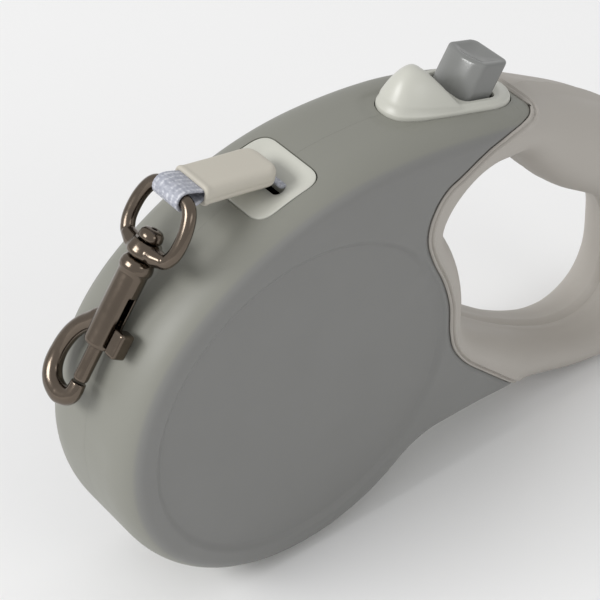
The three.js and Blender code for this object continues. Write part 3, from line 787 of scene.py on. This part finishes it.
def boot_section(length_at, widen, heighten, radius=1.35, count=96):
    half_width, half_height = BOOT_HALF[0] + widen, BOOT_HALF[1] + heighten
    corners = np.array([(-1, -1), (1, -1), (1, 1), (-1, 1)]) * (half_width, half_height)
    outline = resample(rounded(corners, radius * 1.4, 9), count, loop=True)
    outline = np.roll(outline, -int(np.argmin(outline[:, 0] * 3 + outline[:, 1])), 0)
    return np.column_stack([np.full(count, length_at), outline[:, 0], outline[:, 1]])


def build_boot():
    rows = []
    for t in np.radians(np.linspace(0, 90, 10)):
        inset = 1 - math.sin(t)
        rows.append(boot_section(3.0 * (1 - math.cos(t)) - BOOT_TAIL, -3.0 * inset, -0.8 * inset**1.6))
    for at in np.linspace(2.3, 18.6, 28):
        wave = 0.06 * math.sin((at - 3) / 15.6 * math.pi)
        rows.append(boot_section(at, -wave * 2, wave))
    rim = ((18.95, 0.06), (19.3, 0.16), (19.75, 0.16), (20.1, 0.05), (20.3, -0.25))
    for at, swell in rim:
        rows.append(boot_section(at, swell * 0.4, swell))
    n = len(rows[0])
    outside = (len(rows) - 1) * n
    for at, inset in ((20.25, 0.75), (19.9, 0.95), (17.0, 1.0)):
        rows.append(boot_section(at, -inset, -inset, 0.8))
    points = np.vstack(rows)
    # the parting line of the moulding runs along each side, a third of the way up
    side = (np.abs(points[:, 1]) > 5.2) & (np.arange(len(points)) < outside)
    points[:, 1] -= 0.266 * np.sign(points[:, 1]) * side * np.exp(-(((points[:, 2] + 0.75) / 0.22) ** 2))
    return make("boot_body", from_boot(points), capped(len(rows), n), 50)


def webbing_strip(name, path):
    """Woven tape along a path in x and z."""
    t = tangents(path, loop=False)
    normal = np.stack([-t[:, 1], t[:, 0]], 1)
    half, thick = WEBBING
    corners = [(-half, -thick), (half, -thick), (half, thick), (-half, thick)]
    section = resample(rounded(corners, 0.42, 6), 150, loop=True)
    run = np.concatenate([[0], np.cumsum(np.linalg.norm(np.diff(path, axis=0), axis=1))])
    rows = []
    for k, (p, n) in enumerate(zip(path, normal)):
        across, off = section[:, 0], section[:, 1]
        rib = 0.05 * np.sin(across * 2 * math.pi / 0.8) * math.cos(run[k] * 2 * math.pi / 0.8)
        off = off + np.sign(off) * rib * (np.abs(off) > 0.3)
        rows.append(np.column_stack([p[0] + n[0] * off, across, p[1] + n[1] * off]))
    return make(name, np.vstack(rows), capped(len(rows), len(section)), 60)


def build_loop():
    """The webbing comes out of the boot, goes round the ring's bar and back in."""
    c, s = math.cos(BOOT_ANGLE), math.sin(BOOT_ANGLE)
    dx, dz = LOOP_CENTRE[0] - BOOT_REAR[0], LOOP_CENTRE[1] - BOOT_REAR[1]
    cx, cz = -dx * c + dz * s, dx * s + dz * c
    r = LOOP_R
    upper = bezier((16.5, 0.62), (19.5, 0.7), (cx - 2.6, cz + r + 0.02), (cx, cz + r), 24)
    lower = bezier((cx, cz - r), (cx - 2.6, cz - r - 0.02), (19.5, -0.7), (16.5, -0.62), 24)
    path = resample(np.vstack([upper[:-1], arc(cx, cz, r, 90, -90, 40), lower[1:]]), 150)
    placed = from_boot(np.column_stack([path[:, 0], np.zeros(len(path)), path[:, 1]]))
    return webbing_strip("webbing_loop", placed[:, [0, 2]])


def build_lead():
    """The tape dips from the boot into the mouth, and runs straight down towards the roller."""
    line = [
        (-9.2, 62.65), (-5, 61.9), (-2.2, 61.35), (-0.4, 60.7), (0.9, 59.3), (1.9, 57.4), (3.4, 56.1),
        (8, 55.5), (13, 54.25), (18, 52.23), (26, 49.0), (34.3, 45.65),
    ]
    return webbing_strip("tape_lead_strip", resample(spline(line, 14), 170))


boot = build_boot()
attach(boot, "tape_end")
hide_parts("boot")
lead = build_lead()
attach(lead, "tape_end")
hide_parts("tape_lead")
loop = build_loop()
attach(loop, "tape_end")
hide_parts("strap_loop")

# ---- Bolt snap, drawn hanging straight down from the ring's top bar ----
SNAP = (
    Matrix.Translation((LOOP_CENTRE[0] / 1000 + CENTRE[0], 0, LOOP_CENTRE[1] / 1000 + CENTRE[1]))
    @ Matrix.Rotation(HANG_ANGLE, 4, "Y")
)


def snap_mesh(name, points, faces):
    """Points in mm along the snap: x is its thin way, y across, z up its axis."""
    data = bpy.data.meshes.new(name)
    data.from_pydata((np.asarray(points) / 1000).tolist(), [], [tuple(int(i) for i in f) for f in faces])
    bm = bmesh.new()
    bm.from_mesh(data)
    bmesh.ops.recalc_face_normals(bm, faces=bm.faces)
    bm.to_mesh(data)
    bm.free()
    data.transform(SNAP)
    obj = bpy.data.objects.new(name, data)
    bpy.context.scene.collection.objects.link(obj)
    shade(obj, 40)
    return obj


def tube(name, path, radii, closed=False, squeeze=1.0, sides=40):
    """A round bar along a path in y and z; squeeze narrows it through x."""
    path = np.asarray(path, float)
    t = tangents(path, loop=closed)
    normal = np.stack([-t[:, 1], t[:, 0]], 1)
    radii = np.broadcast_to(radii, len(path))
    a = np.linspace(0, 2 * math.pi, sides, endpoint=False)
    rows = []
    for p, n, r in zip(path, normal, radii):
        rows.append(np.column_stack([
            r * squeeze * np.sin(a), p[0] + n[0] * r * np.cos(a), p[1] + n[1] * r * np.cos(a),
        ]))
    faces = ring_faces(len(rows), sides, closed) if closed else capped(len(rows), sides)
    return snap_mesh(name, np.vstack(rows), faces)


def lathe(name, profile, sides=64):
    """A turned piece on the snap's axis, from (radius, z) pairs that begin and end on the axis."""
    a = np.linspace(0, 2 * math.pi, sides, endpoint=False)
    rows = [np.column_stack([r * np.cos(a), r * np.sin(a), np.full(sides, z)]) for r, z in profile]
    return snap_mesh(name, np.vstack(rows), capped(len(rows), sides))


def block(name, x, y, z):
    points = [(a, b, c) for a in x for b in y for c in z]
    faces = [(0, 1, 3, 2), (4, 6, 7, 5), (0, 4, 5, 1), (2, 3, 7, 6), (0, 2, 6, 4), (1, 5, 7, 3)]
    return snap_mesh(name, points, faces)


def cast(obj, voxel=0.2, passes=6):
    """The soft corners and run-together joints of a die casting."""
    remesh = obj.modifiers.new("cast", "REMESH")
    remesh.mode = "VOXEL"
    remesh.voxel_size = voxel / 1000
    soft = obj.modifiers.new("soft", "SMOOTH")
    soft.factor = 0.5
    soft.iterations = passes
    return bake(obj, 60)


def build_ring():
    half = [
        (0, 0), (4.8, -0.1), (7.3, -1.7), (8.8, -5.4), (9.1, -9.6), (8.4, -12.6), (6.4, -14.6), (0, -15.2),
    ]
    outline = np.array([*half, *[(-y, z) for y, z in half[-2:0:-1]]])
    path = resample(spline(outline, 14, loop=True), 220, loop=True)
    ring = tube("ring", path, 1.72, closed=True)
    low_bar = [(-7.2, -14.2), (-4.6, -14.9), (0, -15.0), (4.6, -14.9), (7.2, -14.2)]
    bridge = tube("bridge", low_bar, [1.6, 2.2, 2.6, 2.2, 1.6], squeeze=1.25)
    cut(ring, bridge, "UNION")
    boss = lathe("boss", [
        (0.01, -16.9), (3.4, -16.9), (4.1, -16.3), (4.2, -15.4), (3.9, -14.2), (3.4, -12.9), (0.01, -12.6),
    ])
    cut(ring, boss, "UNION")
    hole = lathe("hole", [(0.01, -30), (1.65, -30), (1.65, -5), (0.01, -5)])
    cut(ring, hole)
    return cast(ring, 0.2, 6)


def build_hook():
    barrel = lathe("barrel", [
        (0.01, -40.5), (2.9, -40.5), (3.45, -40.2), (3.65, -39.5), (3.65, -21.2), (3.8, -20.6), (4.1, -20.1),
        (4.15, -19.2), (3.9, -18.2), (3.4, -17.5), (2.9, -17.2), (0.01, -17.1),
    ])
    arm = [(1.6, -31.0), (3.0, -34.2), (4.8, -36.6), (7.3, -39.4), (9.2, -43.0), (10.1, -47.4), (9.8, -51.6),
           (7.9, -54.6), (4.8, -55.9), (2.2, -55.6), (0.5, -54.4), (0.0, -52.8), (0.0, -50.6)]
    path = resample(spline(arm, 12), 130)
    t = np.linspace(0, 1, len(path))
    radii = np.interp(t, [0, 0.12, 0.3, 0.5, 0.66, 0.8, 0.9, 1], [1.6, 2.3, 2.2, 2.15, 2.5, 2.6, 2.2, 1.95])
    hook = tube("hook", path, radii, squeeze=0.95)
    cut(barrel, hook, "UNION")
    cut(barrel, lathe("bore", [(0.01, -50.45), (2.15, -50.45), (2.15, -23.4), (0.01, -23.4)]))
    cut(barrel, block("slot", (-0.95, 0.95), (-9, 0), (-39.2, -26.3)))
    cut(barrel, lathe("pin_hole", [(0.01, -24), (1.7, -24), (1.7, -10), (0.01, -10)]))
    return cast(barrel, 0.18, 5)


def build_rivet():
    return lathe("rivet", [
        (0.01, -18.6), (1.35, -18.6), (1.35, -12.5), (2.7, -12.5), (2.95, -12.2), (3.0, -11.6), (2.8, -10.7),
        (2.2, -10.0), (1.4, -9.75), (0.85, -9.7), (0.65, -9.85), (0.6, -10.8), (0.01, -10.9),
    ])


def build_bolt():
    bolt = lathe("bolt", [
        (0.01, -50.1), (1.4, -50.1), (1.75, -49.8), (1.87, -49.3), (1.87, -32.7), (0.01, -32.7),
    ])
    cut(bolt, block("stem", (-0.7, 0.7), (-5.4, 0), (-39, -34)), "UNION")
    tab = block("tab", (-2.1, 2.1), (-7.9, -4.4), (-40.0, -33.5))
    edge = tab.modifiers.new("edge", "BEVEL")
    edge.width = 0.0007
    edge.segments = 3
    cut(bolt, bake(tab), "UNION")
    return cast(bolt, 0.16, 3)


for node, builder in (
    ("snap_ring", build_ring),
    ("snap_hook", build_hook),
    ("swivel_rivet", build_rivet),
    ("snap_bolt", build_bolt),
):
    piece = builder()
    piece.name = node + "_cast"
    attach(piece, frame["nodes"][node]["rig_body"])
    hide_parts(node)
    shown[node] = piece


# ---- Materials ----
def linear(rgb):
    return tuple((c / 255 / 12.92) if c <= 10 else ((c / 255 + 0.055) / 1.055) ** 2.4 for c in rgb)


class Finish:
    """A Principled material with procedural variation in the object's own coordinates, which are metres."""

    def __init__(self, name, **inputs):
        self.material = bpy.data.materials.new(name)
        self.material.use_nodes = True
        self.tree = self.material.node_tree
        self.shader = self.tree.nodes["Principled BSDF"]
        self.place = self.tree.nodes.new("ShaderNodeTexCoord").outputs["Object"]
        for key, value in inputs.items():
            self.shader.inputs[key.replace("_", " ")].default_value = value

    def node(self, kind, **values):
        made = self.tree.nodes.new(kind)
        for key, value in values.items():
            setattr(made, key, value)
        return made

    def noise(self, scale, detail=2.0, stretch=None):
        made = self.node("ShaderNodeTexNoise")
        made.inputs["Scale"].default_value = scale
        made.inputs["Detail"].default_value = detail
        source = self.place
        if stretch:
            mapping = self.node("ShaderNodeMapping")
            mapping.inputs["Scale"].default_value = stretch
            self.tree.links.new(source, mapping.inputs["Vector"])
            source = mapping.outputs["Vector"]
        self.tree.links.new(source, made.inputs["Vector"])
        return made.outputs["Fac"]

    def span(self, source, low_value, high_value, start=0.3, end=0.7):
        made = self.node("ShaderNodeMapRange")
        made.inputs["From Min"].default_value = start
        made.inputs["From Max"].default_value = end
        made.inputs["To Min"].default_value = low_value
        made.inputs["To Max"].default_value = high_value
        self.tree.links.new(source, made.inputs["Value"])
        return made.outputs["Result"]

    def mix(self, factor, first, second):
        made = self.node("ShaderNodeMix", data_type="RGBA")
        self.tree.links.new(factor, made.inputs["Factor"])
        for socket, value in ((made.inputs["A"], first), (made.inputs["B"], second)):
            if isinstance(value, tuple):
                socket.default_value = (*value, 1)
            else:
                self.tree.links.new(value, socket)
        return made.outputs["Result"]

    def color(self, source):
        self.tree.links.new(source, self.shader.inputs["Base Color"])

    def roughness(self, source):
        self.tree.links.new(source, self.shader.inputs["Roughness"])

    def bump(self, *layers):
        """Each layer is (height source, strength, distance in metres)."""
        normal = None
        for source, strength, distance in layers:
            made = self.node("ShaderNodeBump")
            made.inputs["Strength"].default_value = strength
            made.inputs["Distance"].default_value = distance
            self.tree.links.new(source, made.inputs["Height"])
            if normal:
                self.tree.links.new(normal, made.inputs["Normal"])
            normal = made.outputs["Normal"]
        self.tree.links.new(normal, self.shader.inputs["Normal"])


def plastic(name, rgb, roughness, grain, spread=0.06, depth=0.00002):
    base = linear(rgb)
    made = Finish(name)
    cloud = made.noise(14, 3)
    darker = tuple(c * (1 - spread) for c in base)
    lighter = tuple(min(1, c * (1 + spread)) for c in base)
    made.color(made.mix(cloud, darker, lighter))
    made.roughness(made.span(made.noise(60, 4), roughness - 0.05, roughness + 0.05))
    made.bump((made.noise(grain, 3), 0.35, depth))
    return made.material


def casing_material():
    made = Finish("casing")
    # painted light: the rim and shoulder get a lighter, warmer copy of the casing grey than the flat face,
    # picked by the face attribute
    face_vs_lit_rim = made.node("ShaderNodeAttribute", attribute_name="face").outputs["Fac"]
    cloud = made.noise(12, 3)
    # painted light: this rim grey is the lit copy of the face grey below
    rim = made.mix(cloud, linear((128, 128, 120)), linear((134, 134, 126)))
    face = made.mix(cloud, linear((119, 119, 117)), linear((124, 124, 122)))
    made.color(made.mix(face_vs_lit_rim, rim, face))
    made.roughness(made.span(made.noise(70, 4), 0.4, 0.5))
    made.bump((made.noise(3800, 2), 0.3, 0.00003), (made.noise(900, 2), 0.12, 0.00005))
    return made.material


RIB = 0.0016  # pitch of the webbing's ribs, in metres


def webbing_material():
    made = Finish("webbing")
    separate = made.node("ShaderNodeSeparateXYZ")
    made.tree.links.new(made.place, separate.inputs["Vector"])
    stripes = made.node("ShaderNodeMath", operation="SINE")
    scaled = made.node("ShaderNodeMath", operation="MULTIPLY")
    scaled.inputs[1].default_value = 2 * math.pi / RIB
    made.tree.links.new(separate.outputs["Y"], scaled.inputs[0])
    made.tree.links.new(scaled.outputs[0], stripes.inputs[0])
    band = made.span(stripes.outputs[0], 0, 1, 0.1, 0.7)
    fleck = made.span(made.noise(1500, 2, (1, 0.5, 1)), 0, 1, 0.35, 0.65)
    weave = made.mix(band, linear((172, 174, 184)), linear((204, 206, 212)))
    made.color(made.mix(fleck, linear((150, 153, 164)), weave))
    made.roughness(made.span(band, 0.5, 0.3, 0, 1))
    made.bump((made.noise(2600, 2, (1, 0.35, 1)), 0.6, 0.0001))
    return made.material


def metal(name, rgb, roughness):
    base = linear(rgb)
    made = Finish(name, Metallic=1.0)
    darker, lighter = tuple(c * 0.9 for c in base), tuple(min(1, c * 1.1) for c in base)
    made.color(made.mix(made.noise(120, 3), darker, lighter))
    made.roughness(made.span(made.noise(300, 4), roughness - 0.06, roughness + 0.06))
    made.bump((made.noise(700, 2), 0.12, 0.00005))
    return made.material


finishes = {
    "casing": casing_material(),
    "grip": plastic("grip", (174, 169, 162), 0.58, 4200, 0.035, 0.00004),
    "trim": plastic("trim", (193, 193, 184), 0.34, 3000, 0.02, 0.000012),
    "boot": plastic("boot", (190, 185, 173), 0.5, 2600, 0.03, 0.00003),
    "button": plastic("button", (122, 123, 121), 0.2, 2500, 0.02, 0.000006),
    "webbing": webbing_material(),
    "gunmetal": metal("gunmetal", (106, 96, 86), 0.2),
    "steel": metal("steel", (170, 171, 174), 0.32),
    "spring_steel": metal("spring_steel", (112, 114, 119), 0.34),
    "inner_plastic": plastic("inner_plastic", (58, 60, 63), 0.55, 2400),
    "acetal": plastic("acetal", (230, 228, 222), 0.4, 2400, 0.01),
}
slots = {row["node"]: row["material_slot"] for row in frame["record"]["subparts"]}
for node, obj in frame["nodes"].items():
    obj.data.materials.clear()
    obj.data.materials.append(finishes[slots[node]])
for obj, name in (
    (bezel, "trim"), (trim, "trim"), (button, "button"), (boot, "boot"), (loop, "webbing"), (lead, "webbing"),
    *[(shown[f"{word}_{kind}"], "casing" if kind == "shell" else "grip")
      for word in ("left", "right") for kind in ("shell", "grip")],
    *[(shown[node], "gunmetal") for node in ("snap_ring", "snap_hook", "swivel_rivet", "snap_bolt")],
):
    obj.data.materials.clear()
    obj.data.materials.append(finishes[name])

# ---- Camera, floor and light ----
scene = bpy.context.scene
camera = bpy.data.objects.new("camera", bpy.data.cameras.new("camera"))
scene.collection.objects.link(camera)
azimuth, elevation = math.radians(-38.03), math.radians(40.70)
right = Vector((math.cos(azimuth), math.sin(azimuth), 0))
level = math.cos(elevation)
back = Vector((math.sin(azimuth) * level, -math.cos(azimuth) * level, math.sin(elevation)))
up = back.cross(right)
camera.matrix_world = Matrix.Translation((-0.2821, -0.3241, 0.4211)) @ Matrix(
    ((right.x, up.x, back.x), (right.y, up.y, back.y), (right.z, up.z, back.z))
).to_4x4()
camera.data.lens = 132
camera.data.sensor_width = 36
camera.data.clip_start = 0.01
scene.camera = camera

bpy.ops.mesh.primitive_plane_add(size=8, location=(0, 0, -0.0002))
floor = bpy.context.object
floor.name = "floor"
paper = Finish("paper", Roughness=0.75)
paper.color(paper.mix(paper.noise(3, 2), linear((236, 236, 236)), linear((240, 240, 240))))
floor.data.materials.append(paper.material)

world = bpy.data.worlds.new("studio")
world.use_nodes = True
world.node_tree.nodes["Background"].inputs["Color"].default_value = (1, 1, 1, 1)
world.node_tree.nodes["Background"].inputs["Strength"].default_value = 0.68
scene.world = world


def lamp(name, place_at, size, power):
    """A soft box aimed at the object."""
    data = bpy.data.lights.new(name, "AREA")
    data.shape = "RECTANGLE"
    data.size, data.size_y = size
    data.energy = power
    obj = bpy.data.objects.new(name, data)
    obj.location = place_at
    obj.rotation_euler = (Vector((0, 0, 0.05)) - Vector(place_at)).to_track_quat("-Z", "Y").to_euler()
    scene.collection.objects.link(obj)


lamp("key", (-3.0, 0.7, 2.3), (2.0, 1.3), 86)
lamp("fill", (0.6, -3.0, 1.9), (1.6, 1.0), 9)
scene.view_settings.view_transform = "Standard"
